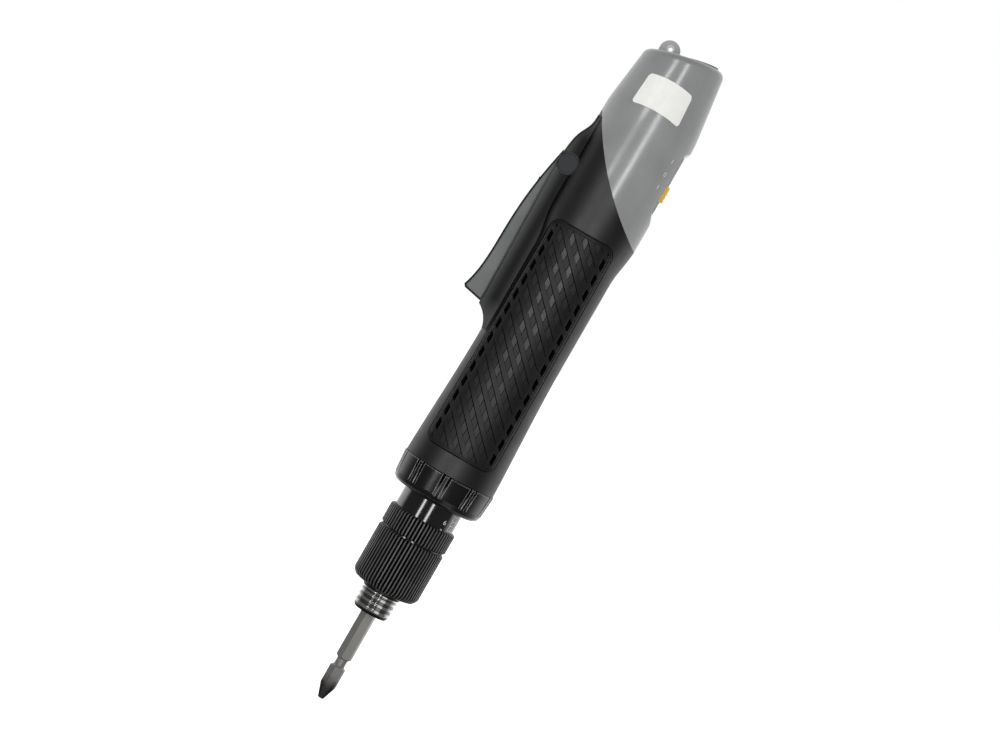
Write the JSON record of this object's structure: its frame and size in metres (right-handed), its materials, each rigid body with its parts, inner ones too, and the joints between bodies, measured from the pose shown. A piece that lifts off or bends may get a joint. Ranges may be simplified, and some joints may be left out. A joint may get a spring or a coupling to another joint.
{
  "type": "electric torque screwdriver",
  "caption": "Lever-start electric torque screwdriver with a ribbed torque nut, grip pads, quick-change bit chuck, direction switch and hanger tab.",
  "frame": {"origin": "the tip of the driver bit, on the drive axis", "axes": "+Z along the drive axis from the bit to the hanger tab, +X towards the direction switch, -X towards the start lever, -Y towards the label side"},
  "size_m": [0.0561, 0.0432, 0.316],
  "materials": {
    "black_shell": "fine satin texture",
    "grey_cover": "satin",
    "lever_grey": "satin",
    "rubber_pad": "matt, diamond pattern",
    "black_nut": "gloss",
    "black_anodised": "satin black anodised",
    "chrome": "turned and plated",
    "bit_steel": "hardened, satin",
    "steel": "machined",
    "gear_steel": "hardened",
    "bronze": "sintered",
    "magnet": "coated",
    "laminations": "stacked sheet",
    "board": "solder mask",
    "switch_black": "satin",
    "yellow_knob": "satin",
    "contact_brass": "plated"
  },
  "bodies": {
    "housing": {"clutch_housing": "black_anodised", "ring_gear": "gear_steel", "carrier_bearing": "steel", "stator": "laminations", "motor_can": "steel", "motor_front_cap": "steel", "motor_rear_cap": "steel", "motor_front_bearing": "steel", "motor_rear_bearing": "steel", "hall_board": "board", "coupling_nut": "black_nut", "grip_shell_front": "black_shell", "grip_shell_back": "black_shell", "grip_pad_front": "rubber_pad", "grip_pad_back": "rubber_pad", "shell_screws": "steel", "rear_cover": "grey_cover", "cover_screws": "steel", "lever_pin": "steel", "pivot_caps": "lever_grey", "start_switch": "switch_black", "direction_switch": "switch_black", "control_board": "board", "inlet_shell": "steel", "inlet_insulator": "switch_black", "inlet_contacts": "contact_brass", "hanger_tab": "grey_cover", "hanger_eyelet": "chrome"},
    "lever": {"start_lever": "lever_grey", "lever_spring": "steel"},
    "plunger": {"start_plunger": "switch_black"},
    "knob": {"direction_knob": "yellow_knob"},
    "seat": {"spring_seat": "steel", "torque_spring": "steel"},
    "nut": {"torque_nut": "black_anodised", "nose_bush": "bronze"},
    "lock": {"lock_ring": "black_anodised"},
    "spindle": {"output_spindle": "steel", "driver_bit": "bit_steel", "retaining_balls": "steel", "collar_retaining_ring": "steel", "collar_spring": "steel", "clutch_cam_ring": "gear_steel", "clutch_balls": "steel", "planet_carrier": "gear_steel", "planet_pins": "steel"},
    "collar": {"bit_collar": "chrome"},
    "planet_1": {"planet_gear_1": "gear_steel"},
    "planet_2": {"planet_gear_2": "gear_steel"},
    "planet_3": {"planet_gear_3": "gear_steel"},
    "rotor": {"motor_shaft": "steel", "rotor_magnet": "magnet", "sun_pinion": "gear_steel"}
  },
  "joints": [
    {"name": "lever_press", "type": "hinge", "parent": "housing", "child": "lever", "pos_m": [-0.0215, 0, 0.249], "axis": [0, -1, 0], "range_deg": [0, 5], "stiffness_Nm_per_rad": 0.6, "springref_deg": -14.32},
    {"name": "plunger_slide", "type": "slide", "parent": "housing", "child": "plunger", "axis": [1, 0, 0], "range_m": [0, 0.00105]},
    {"name": "direction_slide", "type": "slide", "parent": "housing", "child": "knob", "axis": [0, 0, 1], "range_m": [0, 0.012]},
    {"name": "seat_slide", "type": "slide", "parent": "housing", "child": "seat", "axis": [0, 0, 1], "range_m": [0, 0.006], "deforming": ["torque_spring"]},
    {"name": "nut_turn", "type": "hinge", "parent": "seat", "child": "nut", "pos_m": [0, 0, 0.07], "axis": [0, 0, 1], "range_deg": [0, 1080]},
    {"name": "lock_turn", "type": "hinge", "parent": "nut", "child": "lock", "pos_m": [0, 0, 0.084], "axis": [0, 0, 1], "range_deg": [0, 45]},
    {"name": "spindle_spin", "type": "hinge", "parent": "housing", "child": "spindle", "pos_m": [0, 0, 0.08], "axis": [0, 0, 1], "continuous": true},
    {"name": "rotor_spin", "type": "hinge", "parent": "housing", "child": "rotor", "pos_m": [0, 0, 0.16], "axis": [0, 0, 1], "continuous": true},
    {"name": "collar_slide", "type": "slide", "parent": "spindle", "child": "collar", "axis": [0, 0, -1], "range_m": [0, 0.0026], "stiffness_N_per_m": 1200, "springref_m": -0.004, "deforming": ["collar_spring"]},
    {"name": "planet_1_spin", "type": "hinge", "parent": "spindle", "child": "planet_1", "pos_m": [0.009, 0, 0.118], "axis": [0, 0, 1], "continuous": true},
    {"name": "planet_2_spin", "type": "hinge", "parent": "spindle", "child": "planet_2", "pos_m": [-0.0045, 0.00779, 0.118], "axis": [0, 0, 1], "continuous": true},
    {"name": "planet_3_spin", "type": "hinge", "parent": "spindle", "child": "planet_3", "pos_m": [-0.0045, -0.00779, 0.118], "axis": [0, 0, 1], "continuous": true}
  ],
  "couplings": [
    {"joint": "plunger_slide", "follows": "lever_press", "m_per_rad": 0.012},
    {"joint": "seat_slide", "follows": "nut_turn", "m_per_rad": 0.000318},
    {"joint": "rotor_spin", "follows": "spindle_spin", "ratio": 4},
    {"joint": "planet_1_spin", "follows": "spindle_spin", "ratio": -3},
    {"joint": "planet_2_spin", "follows": "spindle_spin", "ratio": -3},
    {"joint": "planet_3_spin", "follows": "spindle_spin", "ratio": -3}
  ]
}
